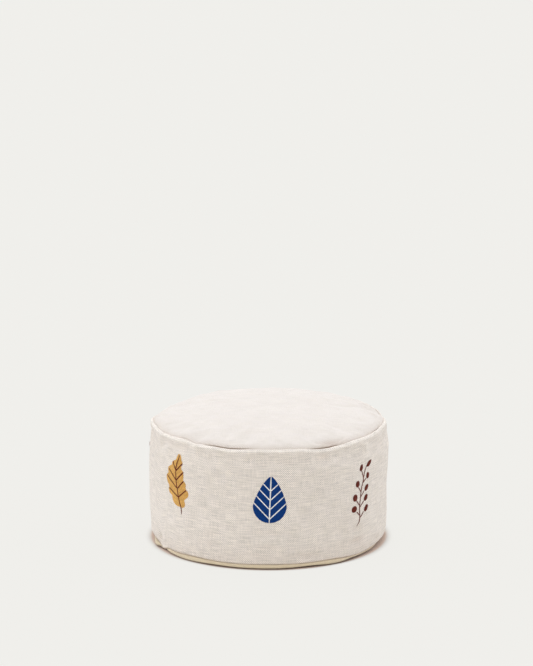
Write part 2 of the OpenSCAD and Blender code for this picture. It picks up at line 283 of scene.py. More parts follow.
def band_dents(azimuth, z):
    total = 0
    for c, cz, w, h, tilt, depth in BAND_DENTS:
        x, y = np.radians(turn(azimuth, c)) * BAND_R, z - cz
        k, s = math.cos(math.radians(tilt)), math.sin(math.radians(tilt))
        total = total + depth * np.exp(-(((k * x + s * y) / w) ** 2) - ((k * y - s * x) / h) ** 2)
    return total


def band_radius(azimuth, z):
    """Radius of the band's outer face."""
    top, low = seam_z(azimuth) - LIP_H, hem_z(azimuth)
    down, up = np.clip(top - z, 0, None), np.clip(z - low, 0, None)
    fold = seam_r(azimuth) + LIP_W
    near_fold = np.exp(-(down / 9.0) ** 1.5)
    base = band_profile(z) * (1 - near_fold) + fold * near_fold
    free = smooth(0, 10, down) * smooth(0, 8, up)
    gathers = (0.55 * top_gathers(azimuth) * smooth(0, 3, down) * np.exp(-down / 11)
               + 0.5 * hem_gathers(azimuth) * smooth(0, 3, up) * np.exp(-up / 10))
    closing = 2.2 * hump((180 - np.abs(turn(azimuth, 0))) * math.radians(BAND_R), 1.5)
    v = np.clip((z - low) / (top - low), 0, 1)
    return (base + gathers - closing + free * (band_dents(azimuth, z) + 0.5 * band_sway(azimuth, z)
            + 0.22 * band_flutter(azimuth, z)) + band_lift(azimuth, v))


# Creases in the top panel: from and to (right, back), half-width, depth
CROWN_CREASES = [
    ((176, 98), (197, 52), 4, -3.2), ((166, 94), (188, 48), 5, 1.6), ((158, 104), (186, 42), 4, -2.4),
    ((178, 40), (204, -40), 5, -2.6), ((188, 66), (208, 16), 4, 1.6), ((92, -186), (134, -160), 9, -8.0),
    ((74, -176), (128, -136), 11, 2.0), ((-100, -184), (-40, -203), 8, -1.2), ((-150, 110),
    (-176, 60), 8, -1.4),
    ((-120, 160), (-70, 188), 8, -1.6), ((40, 196), (96, 176), 9, -1.5), ((-196, -30), (-178, -80), 9, -1.2),
    ((-60, -150), (10, -162), 14, -0.8), ((-120, 20), (-60, 60), 24, -0.8), ((60, 60), (110, 10), 26, -0.7),
]
crown_sway = ripples(41, (1, 7), 160)
crown_flutter = ripples(42, (8, 30), 70)
crown_gathers = puckers(43, 19, 4.6)


def crown_creases(azimuth, r):
    """The creases alone, below 0 where they dip."""
    p = at(azimuth, r, 0)
    total = 0
    for (x0, y0), (x1, y1), w, depth in CROWN_CREASES:
        dx, dy = x1 - x0, y1 - y0
        t = np.clip(((p[..., 0] - x0) * dx + (p[..., 1] - y0) * dy) / (dx * dx + dy * dy), 0, 1)
        away = np.hypot(p[..., 0] - x0 - t * dx, p[..., 1] - y0 - t * dy)
        total = total + depth * hump(away, w) * (0.35 + 0.65 * np.sin(math.pi * t))
    return total


def roll_h(azimuth):
    """Height of the top panel's round edge: it is pulled flat at the right, towards the back."""
    return ROLL_H * (1 - 0.78 * hump(turn(azimuth, 117), 20))


def crown_z(azimuth, r):
    """Height of the top panel's face at a radius, out to where its round edge is widest."""
    edge = seam_r(azimuth)
    usual = SEAM_Z - 1.0
    inside = np.clip(edge - r, 0, None)
    roll = roll_h(azimuth) * np.sqrt(np.clip(1 - np.clip(1 - inside / ROLL_W, 0, 1) ** 2, 0, 1))
    dome = usual + roll + (CROWN_Z - 0.8 - usual - roll_h(azimuth)) * (1 - np.clip(r / edge, 0, 1) ** 2.6)
    follow = (edge_z(azimuth) - usual) * np.exp(-(inside / 22.0) ** 1.3)
    free = smooth(0, 9, inside)
    gathers = 0.7 * crown_gathers(azimuth) * smooth(0, 3, inside) * np.exp(-inside / 12)
    waves = smooth(0, 40, r) * (0.7 * crown_sway(azimuth, r) + 0.2 * crown_flutter(azimuth, r))
    lift = crown_lift(azimuth, 1 - r / edge)
    return dome + follow + gathers + free * (crown_creases(azimuth, r) + waves) + lift


# ---- Meshes and pieces ----

def grid_faces(rows, cols, wrap):
    """Quads over a grid of rows by cols, facing the side from which rows go up and columns go right."""
    j, i = np.meshgrid(np.arange(rows - 1), np.arange(cols if wrap else cols - 1), indexing="ij")
    k = (i + 1) % cols
    return np.stack([j * cols + i, j * cols + k, (j + 1) * cols + k, (j + 1) * cols + i], -1).reshape(-1, 4)


def band_painted_shade(azimuth, z):
    """How much painted shade the band gets: some towards the floor, more just above its hem, in its dents, and
    in faint darker patches.
    """
    total = 0.09 * smooth(60, 12, z) + 0.10 * np.exp(-np.clip(z - hem_z(azimuth), 0, None) / 3.0)
    total = total + 0.03 * np.clip(-band_dents(azimuth, z), 0, None)
    for c, cz, w, h, strength in DARK_PATCHES:
        total = total + strength * hump(np.radians(turn(azimuth, c)) * BAND_R, w) * hump(z - cz, h)
    return total


def new_object(name, points, faces, values=None):
    """A smooth mesh from points in millimetres. values holds named values for each point."""
    mesh = bpy.data.meshes.new(name)
    points = np.asarray(points, float).reshape(-1, 3) * MM
    mesh.from_pydata(points.tolist(), [], [list(map(int, f)) for f in faces])
    for key, data in (values or {}).items():
        kind, field = ("FLOAT_VECTOR", "vector") if np.ndim(data) > 1 else ("FLOAT", "value")
        layer = mesh.attributes.new(key, kind, "POINT")
        layer.data.foreach_set(field, np.ravel(data).astype(np.float32))
    mesh.polygons.foreach_set("use_smooth", [True] * len(mesh.polygons))
    mesh.update()
    obj = bpy.data.objects.new(name, mesh)
    bpy.context.scene.collection.objects.link(obj)
    return obj


def piece(obj, body, slot, material, *nodes):
    """Finishes a piece: its look, the body it rides on and the nodes it stands for. The slot is not used."""
    obj.data.materials.clear()
    obj.data.materials.append(material)
    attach(obj, body)
    if nodes:
        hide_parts(*nodes)
    return obj


def flat_coords(*parts):
    """Cloth coordinates in metres, for the weave."""
    u, v = np.broadcast_arrays(*parts)
    return np.stack([u, v, np.zeros_like(u)], -1).reshape(-1, 3) * MM


def tube(path, radius, sides, closed=False):
    """Points and faces of a round tube along a path of points."""
    path = np.asarray(path, float)
    ahead = np.roll(path, -1, 0) - np.roll(path, 1, 0)
    if not closed:
        ahead[0], ahead[-1] = path[1] - path[0], path[-1] - path[-2]
    ahead /= np.linalg.norm(ahead, axis=1)[:, None]
    up = np.tile([0.0, 0.0, 1.0], (len(path), 1))
    up[np.abs(ahead[:, 2]) > 0.9] = [1.0, 0.0, 0.0]
    side = np.cross(ahead, up)
    side /= np.linalg.norm(side, axis=1)[:, None]
    up = np.cross(side, ahead)
    a = np.arange(sides) * 2 * math.pi / sides
    ring = side[:, None] * np.cos(a)[None, :, None] + up[:, None] * np.sin(a)[None, :, None]
    points = (path[:, None] + ring * radius).reshape(-1, 3)
    rows = len(path) + (1 if closed else 0)
    faces = grid_faces(rows, sides, True) % len(points)
    if closed:
        return points, faces.tolist()
    ends = [list(range(sides))[::-1], list(range(len(points) - sides, len(points)))]
    return points, faces.tolist() + ends


def joined(parts):
    """Several (points, faces) as one."""
    points, faces, base = [], [], 0
    for p, f in parts:
        points.append(p)
        faces += [[base + k for k in face] for face in f]
        base += len(p)
    return np.concatenate(points), faces


# ---- Materials ----

class Nodes:
    """A tree of shader nodes, built from values and sockets."""

    def __init__(self, tree):
        self.tree = tree

    def link(self, value, socket):
        if isinstance(value, bpy.types.NodeSocket):
            self.tree.links.new(value, socket)
        else:
            socket.default_value = value

    def node(self, kind, inputs=None, out=0, **settings):
        made = self.tree.nodes.new("ShaderNode" + kind)
        for key, value in settings.items():
            setattr(made, key, value)
        for key, value in (inputs or {}).items():
            self.link(value, made.inputs[key])
        return made.outputs[out]

    def axes(self, vector):
        """The x, y and z of a vector."""
        made = self.tree.nodes.new("ShaderNodeSeparateXYZ")
        self.link(vector, made.inputs[0])
        return made.outputs

    def math(self, operation, a, b=0.0, c=0.0):
        return self.node("Math", {0: a, 1: b, 2: c}, operation=operation)

    def times(self, a, b):
        return self.math("MULTIPLY", a, b)

    def scaled(self, value, factor, rest):
        return self.math("MULTIPLY_ADD", value, factor, rest)

    def mix(self, factor, a, b, blend="MIX"):
        return self.node("Mix", {0: factor, 6: a, 7: b}, out=2, data_type="RGBA", blend_type=blend)

    def shaded(self, colour, red, green=None, blue=None):
        """The colour times a value, or times one for each of its channels."""
        shade = self.node("CombineColor", {0: red, 1: green or red, 2: blue or red})
        return self.mix(1.0, colour, shade, "MULTIPLY")


class Look(Nodes):
    """A node material with a Principled shader."""

    def __init__(self, name, roughness, **settings):
        self.material = bpy.data.materials.new(name)
        self.material.use_nodes = True
        super().__init__(self.material.node_tree)
        self.shader = next(n for n in self.tree.nodes if n.type == "BSDF_PRINCIPLED")
        for key, value in {"Roughness": roughness, **settings}.items():
            self.put(key.replace("_", " "), value)

    def put(self, name, value):
        """Sets an input of the shader."""
        self.link(value, self.shader.inputs[name])

    def attribute(self, name, out=2):
        """A named value of the mesh, or a named vector from output 1."""
        return self.node("Attribute", out=out, attribute_name=name)

    def with_painted_shade(self, colour, tint):
        """The colour, darkened towards the tint where the painted_shade value is high: painted shade in seams,
        creases, dents and tucks, towards the floor and in faint patches.
        """
        return self.mix(self.attribute("painted_shade"), colour, self.mix(1.0, colour, tint, "MULTIPLY"))

    def place(self):
        return self.node("TexCoord", out=3)

    def noise(self, where, size, detail=2.0, stretch=(1, 1, 1)):
        """Noise from 0 to 1, with features of about that size in metres."""
        moved = self.node("Mapping", {0: where, 3: stretch})
        return self.node("TexNoise", {0: moved, 2: 1 / size, 3: detail, 4: 0.5})

    def bump(self, height, distance):
        self.put("Normal", self.node("Bump", {0: 1.0, 1: distance, "Height": height}))

    def colour(self, value):
        self.put("Base Color", value)


def srgb(r, g, b):
    """A linear colour from pale screen values, out of 255."""
    return tuple(((c / 255 + 0.055) / 1.055) ** 2.4 for c in (r, g, b)) + (1.0,)


THREAD_WANDER = 0.48        # how far threads stray from straight, in pairs of threads


def weave(look, pitch):
    """A plain weave of paired threads, a pair every pitch metres: its height, 0 to 1, where the threads
    that run up the cloth lie on top, and the cloth's coordinates.
    """
    where = look.attribute("cloth", 1)
    drift = look.node("TexNoise", {0: where, 2: 1 / 0.016, 3: 1.0}, out=1)
    drift = look.node("VectorMath", {0: drift, 1: (0.5, 0.5, 0.5)}, operation="SUBTRACT")
    drift = look.node("VectorMath", {0: drift, "Scale": THREAD_WANDER}, operation="SCALE")
    cells = look.node("VectorMath", {0: where, "Scale": 1 / pitch}, operation="SCALE")
    cells = look.node("VectorMath", {0: cells, 1: drift}, operation="ADD")
    u, v = look.axes(cells)[:2]

    def pair(x):
        """Across a pair of threads: round at its edges, with a groove between the two."""
        off = look.math("ABSOLUTE", look.math("SUBTRACT", look.math("FRACT", x), 0.5))
        edge = look.math("SUBTRACT", 1.0, look.math("POWER", look.times(off, 2.0), 4.0))
        groove = look.math("SMOOTH_MIN", 1.0, look.scaled(off, 2.2, 0.72), 0.1)
        return look.times(edge, groove)

    def over(along, across, sign):
        """Along a pair: up where it passes over the others, down where it passes under."""
        phase = look.math("ADD", look.math("SUBTRACT", along, 0.5), look.math("FLOOR", across))
        wave = look.math("COSINE", look.times(phase, math.pi))
        return look.scaled(wave, 0.5 * sign, 0.5)

    warp = look.times(pair(u), over(v, u, 1))
    weft = look.times(pair(v), over(u, v, -1))
    upper = look.node("Clamp", {0: look.scaled(look.math("SUBTRACT", warp, weft), 2.0, 0.5)})
    return look.math("MAXIMUM", warp, weft), upper, where


def canvas(name, thread, gap, pitch, depth, contrast):
    """Undyed cotton canvas: a coarse weave with slubs and faint uneven patches.

    The threads that run up the cloth are paler than those that run round it, by the contrast.
    A painted highlight makes the cloth paler along the band's fold at the top seam.
    """
    look = Look(name, 0.92, Sheen_Weight=0.28, Sheen_Roughness=0.5, Specular_IOR_Level=0.15)
    height, upper, where = weave(look, pitch)
    slub_u = look.noise(where, 0.0017, stretch=(0.06, 1, 1), detail=1.0)
    slub_v = look.noise(where, 0.0017, stretch=(1, 0.08, 1), detail=1.0)
    slubs = look.scaled(slub_u, 0.62, look.times(slub_v, 0.38))
    fine = look.noise(where, 0.0009, detail=1.0)
    patch = look.noise(where, 0.04, detail=3.0)
    colour = look.mix(look.math("POWER", height, 0.8), gap, thread)
    tone = look.scaled(upper, contrast, 1 - contrast / 2)
    tone = look.times(tone, look.scaled(patch, 0.12, 0.94))
    tone = look.times(tone, look.scaled(slubs, contrast * 2.6, 1 - contrast * 1.3))
    tone = look.times(tone, look.scaled(fine, contrast, 1 - contrast / 2))
    warmth = look.scaled(look.noise(where, 0.02, detail=2.0), 0.05, 0.975)
    colour = look.shaded(colour, tone, tone, look.times(tone, warmth))
    specks = look.math("GREATER_THAN", look.noise(where, 0.0011, stretch=(1, 0.5, 1), detail=1.0), 0.79)
    colour = look.mix(look.times(specks, contrast), colour, (*(c / 2 for c in gap[:3]), 1))
    # Painted highlight: paler where the fold value is high, along the lip of the band at the top seam.
    colour = look.mix(look.attribute("fold"), colour, look.mix(1.0, colour, (1.16, 1.18, 1.20, 1), "MULTIPLY"))
    # Painted shade: the canvas turns towards this warm brown where the painted_shade value is high.
    look.colour(look.with_painted_shade(colour, (0.56, 0.40, 0.29, 1)))
    look.bump(look.scaled(slubs, 0.6, height), depth)
    return look.material


def twill(name, base, pitch):
    """Cotton twill with fine diagonal ribs."""
    look = Look(name, 0.9, Sheen_Weight=0.2)
    where = look.attribute("cloth", 1)
    slant = look.math("ADD", *look.axes(where)[:2])
    rib = look.math("SINE", look.times(slant, 2 * math.pi / pitch))
    rib = look.scaled(rib, 0.5, 0.5)
    slub = look.noise(where, 0.004, stretch=(0.3, 1, 1))
    value = look.times(look.scaled(rib, 0.18, 0.86), look.scaled(slub, 0.3, 0.85))
    # Painted shade: the twill turns dark brown where the painted_shade value is high, under the hem and on the
    # rim's underside.
    look.colour(look.with_painted_shade(look.shaded(base, value), (0.2, 0.12, 0.09, 1)))
    look.bump(look.math("ADD", rib, slub), 0.0002)
    return look.material


def thread(name, base, gloss=0.5):
    """Embroidery thread: a soft gloss, each stitch a little lighter or darker."""
    look = Look(name, gloss, Specular_IOR_Level=0.12)
    where = look.place()
    value = look.scaled(look.attribute("tone"), 0.5, 0.75)
    value = look.times(value, look.scaled(look.noise(where, 0.012), 0.2, 0.9))
    look.colour(look.shaded(base, value))
    look.bump(look.noise(where, 0.0005), 0.0001)
    return look.material


def plain_cloth(name, base, grain=0.0006):
    """Fine plain cloth for the linings, tapes and labels."""
    look = Look(name, 0.85, Sheen_Weight=0.1)
    where = look.place()
    fine = look.noise(where, grain, detail=1.0)
    broad = look.noise(where, 0.03)
    value = look.times(look.scaled(fine, 0.24, 0.88), look.scaled(broad, 0.1, 0.95))
    look.colour(look.shaded(base, value))
    look.bump(fine, 0.0002)
    return look.material


def nylon(name, base):
    look = Look(name, 0.42)
    where = look.place()
    value = look.scaled(look.noise(where, 0.002), 0.2, 0.9)
    look.colour(look.shaded(base, value))
    look.bump(look.noise(where, 0.0008), 0.00005)
    return look.material


def nickel(name):
    """Plated zinc with fine scratches and a little tarnish."""
    look = Look(name, 0.3, Metallic=1.0)
    where = look.place()
    scratches = look.noise(where, 0.0006, stretch=(0.1, 1, 1), detail=4.0)
    tarnish = look.noise(where, 0.004, detail=4.0)
    look.colour(look.mix(tarnish, (0.42, 0.40, 0.37, 1), (0.66, 0.65, 0.62, 1)))
    look.put("Roughness", look.scaled(scratches, 0.2, 0.2))
    look.bump(scratches, 0.00004)
    return look.material


def beads(name):
    """Packed white beads, a few millimetres across."""
    look = Look(name, 0.6)
    cells = look.node("TexVoronoi", {0: look.place(), 2: 1 / 0.004})
    # The colour darkens away from each bead's middle: painted shade in the gaps between beads.
    look.colour(look.mix(cells, (0.92, 0.92, 0.91, 1), (0.6, 0.6, 0.59, 1)))
    look.bump(look.math("SUBTRACT", 1.0, cells), 0.0015)
    return look.material


SIDE_CANVAS = canvas("side_canvas", (0.89, 0.815, 0.74, 1), (0.62, 0.54, 0.463, 1), 0.00185, 0.0005, 0.36)
TOP_CANVAS = canvas("top_canvas", (0.815, 0.76, 0.708, 1), (0.68, 0.62, 0.56, 1), 0.00185, 0.00022, 0.10)
KHAKI_TWILL = twill("khaki_twill", (0.77, 0.64, 0.445, 1), 0.0011)
BLUE = thread("blue_thread", (0.002, 0.042, 0.20, 1))
WHITE = thread("white_thread", (0.86, 0.85, 0.83, 1))
MUSTARD = thread("mustard_thread", (0.69, 0.40, 0.115, 1))
BROWN = thread("brown_thread", (0.15, 0.026, 0.012, 1))
BERRY = thread("berry_thread", (0.14, 0.020, 0.010, 1))
SEWING = thread("sewing_thread", (0.72, 0.66, 0.56, 1), 0.6)
BINDING = plain_cloth("binding_tape", (0.74, 0.70, 0.62, 1))
STABILISER = plain_cloth("stabiliser_cloth", (0.85, 0.85, 0.84, 1), 0.0012)
LABEL = plain_cloth("label_satin", (0.88, 0.88, 0.86, 1), 0.0004)
TAPE = plain_cloth("zip_tape_cloth", (0.55, 0.45, 0.31, 1))
LINER = plain_cloth("liner_cloth", (0.84, 0.84, 0.83, 1))
NYLON = nylon("zip_nylon", (0.52, 0.43, 0.30, 1))
NICKEL = nickel("zip_nickel")
BEADS = beads("filling_beads")


# ---- Cloth simulation: the filling presses the sewn cloth out between its seams ----

SIM_COLS, SIM_BAND_ROWS, SIM_CROWN_ROWS = 240, 34, 32
SIM_SURPLUS = 0.022         # how much longer the cloth is than the seams that hold it
SIM_CAP = 3.5               # the most that it may move the cloth, near enough
SIM_FRAMES = 20


def sim_grids():
    """The band from hem to seam, and the top panel from seam to centre, as grids of points."""
    azimuths = np.arange(SIM_COLS) * 360 / SIM_COLS
    v = np.linspace(0, 1, SIM_BAND_ROWS)[:, None]
    top, low = seam_z(azimuths) - LIP_H, hem_z(azimuths)
    z = low + v * (top - low)
    band = at(azimuths, band_radius(azimuths, z), z)
    w = np.linspace(0, 0.97, SIM_CROWN_ROWS)[:, None]
    r = seam_r(azimuths) * (1 - w)
    crown = at(azimuths, r, crown_z(azimuths, r))
    return band, crown


def simulate(points, pinned):
    """Where a cloth of those points ends up, under pressure from inside and held at its pinned points."""
    rows, cols = points.shape[:2]
    obj = new_object("sim", points, grid_faces(rows, cols, True))
    group = obj.vertex_groups.new(name="pin")
    group.add([int(i) for i in pinned], 1.0, "REPLACE")
    cloth = obj.modifiers.new("Cloth", "CLOTH")
    s = cloth.settings
    s.quality = 6
    s.mass = 0.35
    s.tension_stiffness = s.compression_stiffness = 25
    s.shear_stiffness = 12
    s.bending_stiffness = 1.2
    s.use_pressure = True
    s.uniform_pressure_force = 4
    s.effector_weights.gravity = 0
    s.vertex_group_mass = "pin"
    s.shrink_min = -SIM_SURPLUS
    scene = bpy.context.scene
    for f in range(1, SIM_FRAMES + 1):
        scene.frame_set(f)
    shown = obj.evaluated_get(bpy.context.evaluated_depsgraph_get())
    out = np.zeros(rows * cols * 3, np.float32)
    shown.data.vertices.foreach_get("co", out)
    scene.frame_set(1)
    bpy.data.objects.remove(obj)
    return out.reshape(rows, cols, 3) / MM


def residue(move):
    """What a move does apart from its mean round the pouf, capped."""
    move = move - move.mean(1, keepdims=True)
    return SIM_CAP * np.tanh(move / SIM_CAP)


def settle_cloth():
    """Sets band_lift and crown_lift from the simulated cloth."""
    global band_lift, crown_lift
    band, crown = sim_grids()
    edge = list(range(SIM_COLS)) + list(range(SIM_COLS * (SIM_BAND_ROWS - 1), SIM_COLS * SIM_BAND_ROWS))
    moved = simulate(band, edge)
    out = np.hypot(moved[..., 0], moved[..., 1]) - np.hypot(band[..., 0], band[..., 1])
    moved = simulate(crown, range(SIM_COLS))
    up = moved[..., 2] - crown[..., 2]
    fade = smooth(1.0, 0.75, np.linspace(0, 1, SIM_CROWN_ROWS))[:, None]
    band_lift = Field(residue(out))
    crown_lift = Field(residue(up) * fade)


settle_cloth()

# ---- Cover ----

BAND_COLS, BAND_ROWS = 720, 104


def band_columns():
    """Azimuths of the band's columns, closer together at its closing seam."""
    near = 180 - np.array([0.0, 0.12, 0.26, 0.42, 0.62])
    middle = np.linspace(-179.1, 179.1, BAND_COLS)
    return np.concatenate([-near, middle, near[::-1]])


def make_band():
    """The side band, from inside its hem up over its fold and down into the top seam."""
    azimuths = band_columns()
    low, top = hem_z(azimuths), seam_z(azimuths) - LIP_H
    rows = []
    for inward, up in [(3.4, 5.0), (3.0, 2.6), (2.0, 0.9), (1.0, 0.15), (0.3, 0.05)]:
        rows.append((band_radius(azimuths, low) - inward, low + up))
    # Painted shade, 0 to 1, for each row: full on the rows tucked inside the hem and down in the top seam's
    # crease, none on the band's face.
    tucked_shade = [1.0, 1.0, 0.8, 0.4, 0.2] + [0.0] * (BAND_ROWS + 4) + [0.1, 0.4, 0.8, 1.0, 1.0, 1.0, 1.0]
    tucked_shade = np.array(tucked_shade)[:, None]
    for v in np.linspace(0, 1, BAND_ROWS)[1:]:
        v = 1 - (1 - v) ** 1.15
        z = low + v * (top - low)
        rows.append((band_radius(azimuths, z), z))
    edge, open_by = band_radius(azimuths, top), gape(azimuths)
    for a in np.radians([22, 45, 68, 90, 112, 135, 158, 175]):
        rows.append((edge - LIP_W / 2 * (1 - math.cos(a)), top + LIP_H * math.sin(a)))
    for inward, down in [(0.6, 0.8), (1.5, 1.3), (2.4, 2.2), (2.6, 4.0)]:
        rows.append((edge - LIP_W - inward * open_by, top - down - 0.8 * (1 - open_by)))
    points = np.stack([at(azimuths, r, z) for r, z in rows])
    depth = np.repeat(tucked_shade, len(azimuths), 1)
    # The painted shade in the crease grows stronger or weaker round the seam.
    depth[BAND_ROWS:] *= crease_shade(azimuths)
    # Where the canvas gets its painted highlight: the lip of the band's fold at the top seam, clear of the
    # tucked rows.
    fold = smooth(-1.0, 2.5, points[..., 2] - top) * smooth(0.5, 0.0, tucked_shade)
    across = np.linalg.norm(np.diff(points, axis=0), axis=2)
    along = np.concatenate([np.zeros((1, len(azimuths))), np.cumsum(across, 0)])
    obj = new_object("side_band_cloth", points, grid_faces(*points.shape[:2], False),
                     {"cloth": flat_coords(np.radians(azimuths) * BAND_R, along),
                      "painted_shade": np.clip(band_painted_shade(azimuths, points[..., 2]) + depth, 0, 1).ravel(),
                      "fold": fold.ravel()})
    piece(obj, COVER, "side_canvas", SIDE_CANVAS, "side_band")


def disc_faces(rows, cols):
    """A grid of rings, closed at its last ring by triangles to one more point."""
    faces = grid_faces(rows, cols, True).tolist()
    last = (rows - 1) * cols
    return faces + [[last + i, last + (i + 1) % cols, rows * cols] for i in range(cols)]


CROWN_SPAN = 218.4          # the distance in from the edge that counts as the centre


def make_crown():
    """The top panel, from inside the seam to its centre.

    Where the seam is closed, its edge presses on the band.
    """
    azimuths = np.arange(640) * 360 / 640
    edge, start, open_by = seam_r(azimuths), edge_z(azimuths), gape(azimuths)
    out = 1.9 * (1 - smooth(0, 0.5, open_by))
    rows = []
    for inward, down, part in [(2.6, 6.0, 0.2), (2.5, 3.6, 0.5), (2.2, 2.4, 0.7),
                               (1.6, 1.3, 0.9), (0.7, 0.5, 1.0)]:
        rows.append((edge - inward * open_by + part * out, start - down))
    roll = ROLL_W * (1 - np.cos(np.linspace(0, math.pi / 2, 12)))
    for inside in np.concatenate([roll[:-1], np.linspace(ROLL_W, 24, 20)[:-1], np.linspace(24, 214, 84)]):
        r = edge - inside * edge / CROWN_SPAN
        rows.append((r + out * max(0.0, 1 - inside / ROLL_W) ** 2, crown_z(azimuths, r)))
    points = np.stack([at(azimuths, r, z) for r, z in rows])
    radius = np.stack([r for r, z in rows])
    # Painted shade: darker in the top panel's creases and over its last few millimetres by the seam, full on
    # the rows down in the seam's crease.
    painted_shade = 0.04 * np.clip(-crown_creases(azimuths, radius), 0, None) + 0.11 * np.exp(-(edge - radius) / 7.0)
    painted_shade[:6] += np.array([1.0, 1.0, 1.0, 0.8, 0.5, 0.15])[:, None] * crease_shade(azimuths)
    painted_shade = np.clip(painted_shade, 0, 1)
    centre = at(0.0, 0.0, crown_z(0.0, 0.0))
    coords = np.concatenate([flat_coords(points[..., 0], points[..., 1]), [[0, 0, 0]]])
    faces = disc_faces(len(rows), len(azimuths))
    obj = new_object("top_panel_cloth", np.concatenate([points.reshape(-1, 3), centre[None]]), faces,
                     {"cloth": coords, "painted_shade": np.append(painted_shade, 0.0)})
    piece(obj, COVER, "top_canvas", TOP_CANVAS, "top_panel")


def make_base():
    """The base: a flat disc of twill whose rim turns up to meet the band."""
    azimuths = np.arange(600) * 360 / 600
    wide, zipped = base_r(azimuths), over_zip(azimuths, 1)
    top = (hem_z(azimuths) + 0.4) * (1 - zipped) + RIM_UNDER_ZIP * zipped
    groove = np.minimum(band_radius(azimuths, hem_z(azimuths)) - 3.2, wide - 1.5)
    groove = groove * (1 - zipped) + (CHAIN_R - 0.6) * zipped
    rows = [(groove - 0.9, top + 3.0 * (1 - zipped)), (groove, top + 1.0 * (1 - zipped))]
    rim, low = np.maximum(wide, groove + 0.3), rim_z(azimuths)
    for v, out in [(0.94, 0.4), (0.86, 0.75), (0.72, 0.94), (0.5, 1.0), (0.28, 0.98), (0.1, 0.85)]:
        rows.append((groove + (rim - groove) * out, low + (top - low) * v))
    for inward, v in [(1.2, 1.0), (2.4, 0.94), (4.5, 0.8), (8, 0.5), (12, 0.22), (16, 0.05)]:
        rows.append((rim - inward, low * v))
    turned = len(rows)
    for w in np.linspace(0.0, 0.99, 40):
        rows.append(((rim - 20) * (1 - w), 0 * rim))
    # Painted shade: full on the rows tucked under the band's hem, and on the rim's underside that curls under
    # to the floor.
    painted_shade = np.zeros((len(rows), len(azimuths)))
    painted_shade[:4] = np.array([1.0, 0.8, 0.45, 0.15])[:, None]
    painted_shade[7:turned] = np.array([0.15, 0.45, 0.75, 0.95, 1, 1, 1])[:turned - 7, None]
    points = np.stack([at(azimuths, r, z) for r, z in rows])
    across = np.concatenate([[0], np.cumsum(np.linalg.norm(np.diff(points[:turned, 0], axis=0), axis=1))])
    coords = flat_coords(points[..., 0], points[..., 1]).reshape(*points.shape)
    coords[:turned] = np.stack([flat_coords(np.radians(azimuths) * BAND_R, s) for s in across])
    coords = np.concatenate([coords.reshape(-1, 3), [[0, 0, 0]]])
    faces = disc_faces(len(rows), len(azimuths))
    obj = new_object("base_cloth", np.concatenate([points.reshape(-1, 3), [[0, 0, 0]]]), faces,
                     {"cloth": coords, "painted_shade": np.append(painted_shade, 0.0)})
    piece(obj, COVER, "base_twill", KHAKI_TWILL, "base_panel")


make_band()
make_crown()
make_base()

# ---- Embroidery: stitches laid on the band's cloth ----

MOTIF_SHIFT, MOTIF_PITCH = 0.6, 49.1
THREAD_W = 0.58
ROW_PITCH, SATIN_PITCH = 0.46, 0.42      # from one stitch to the next, in a fill and in satin stitch
RUN = 4.4                                # the longest stitch in a fill


class Stitches:
    """Collects the stitches of one node: ends in (along the band, height), with a width and an arch."""

    def __init__(self, seed):
        self.rows = []
        self.random = np.random.default_rng(seed)

    def add(self, a, b, width=THREAD_W, arch=0.35, base=0.12):
        ends = np.array([*a, *b]) + self.random.normal(0, 0.06, 4)
        tone = self.random.uniform()
        self.rows.append((*ends, width, arch, base, tone))

    def make(self, name, place, steps):
        """One mesh of the stitches on the band. The place counts motifs round from the front."""
        x0, y0, x1, y1, width, arch, base, tone = np.array(self.rows).T
        dx, dy = x1 - x0, y1 - y0
        length = np.hypot(dx, dy) + 1e-6
        nx, ny = -dy / length, dx / length
        s = np.linspace(0, 1, steps + 1)
        side = np.array([-0.5, -0.24, 0.24, 0.5])
        crown = np.array([0.0, 0.85, 0.85, 0.0])
        bow = 0.3 + 0.7 * np.sin(math.pi * s) ** 0.7
        u = (x0[:, None] + dx[:, None] * s)[..., None] + (nx * width)[:, None, None] * side
        z = (y0[:, None] + dy[:, None] * s)[..., None] + (ny * width)[:, None, None] * side
        lift = base[:, None, None] + arch[:, None, None] * bow[:, None] * crown - 0.15 * (crown == 0)
        azimuth = MOTIF_SHIFT + place * MOTIF_PITCH + np.degrees(u / BAND_R)
        points = at(azimuth, band_radius(azimuth, z) + lift, z)
        one = grid_faces(steps + 1, 4, False)
        faces = (one[None] + (np.arange(len(x0)) * (steps + 1) * 4)[:, None, None]).reshape(-1, 4)
        return new_object(name, points, faces, {"tone": np.repeat(tone, (steps + 1) * 4)})


def crossings(outline, y):
    """Where a level line at y crosses a closed outline, in order."""
    a, b = outline, np.roll(outline, -1, 0)
    hit = (a[:, 1] <= y) != (b[:, 1] <= y)
    a, b = a[hit], b[hit]
    return np.sort(a[:, 0] + (y - a[:, 1]) / (b[:, 1] - a[:, 1]) * (b[:, 0] - a[:, 0]))


